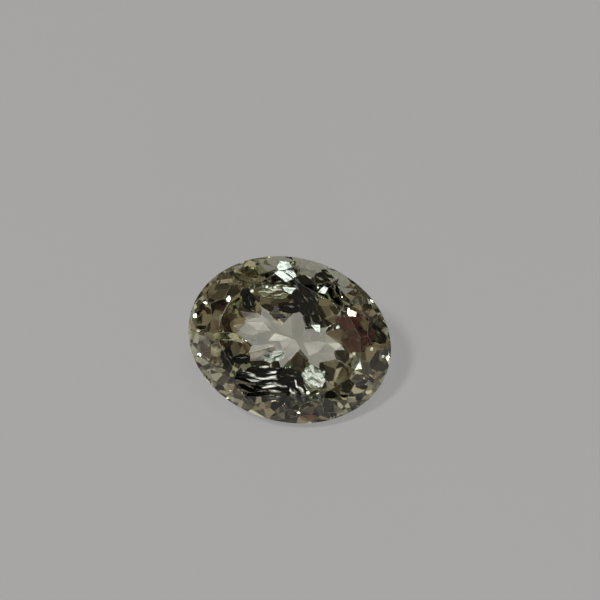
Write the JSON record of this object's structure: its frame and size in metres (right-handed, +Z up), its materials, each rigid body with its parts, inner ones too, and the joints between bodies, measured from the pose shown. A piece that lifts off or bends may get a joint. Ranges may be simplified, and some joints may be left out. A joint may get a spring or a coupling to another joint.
{
  "type": "faceted tourmaline",
  "caption": "Loose oval faceted tourmaline with a flat table, a thin girdle and a deep pavilion that ends in a short keel, lying tilted on a pavilion facet.",
  "frame": {"origin": "bottom centre of the stone's bounding box, in the plane of the pavilion facet that it rests on", "axes": "+X towards the right-hand end of the stone's long axis, +Z up, the table facing up and towards -Y"},
  "size_m": [0.0098, 0.0066, 0.0059],
  "materials": {
    "tourmaline": "polished clear crystal, pale greenish yellow, with a ground girdle"
  },
  "bodies": {
    "root": {"tourmaline": "tourmaline"}
  },
  "joints": []
}
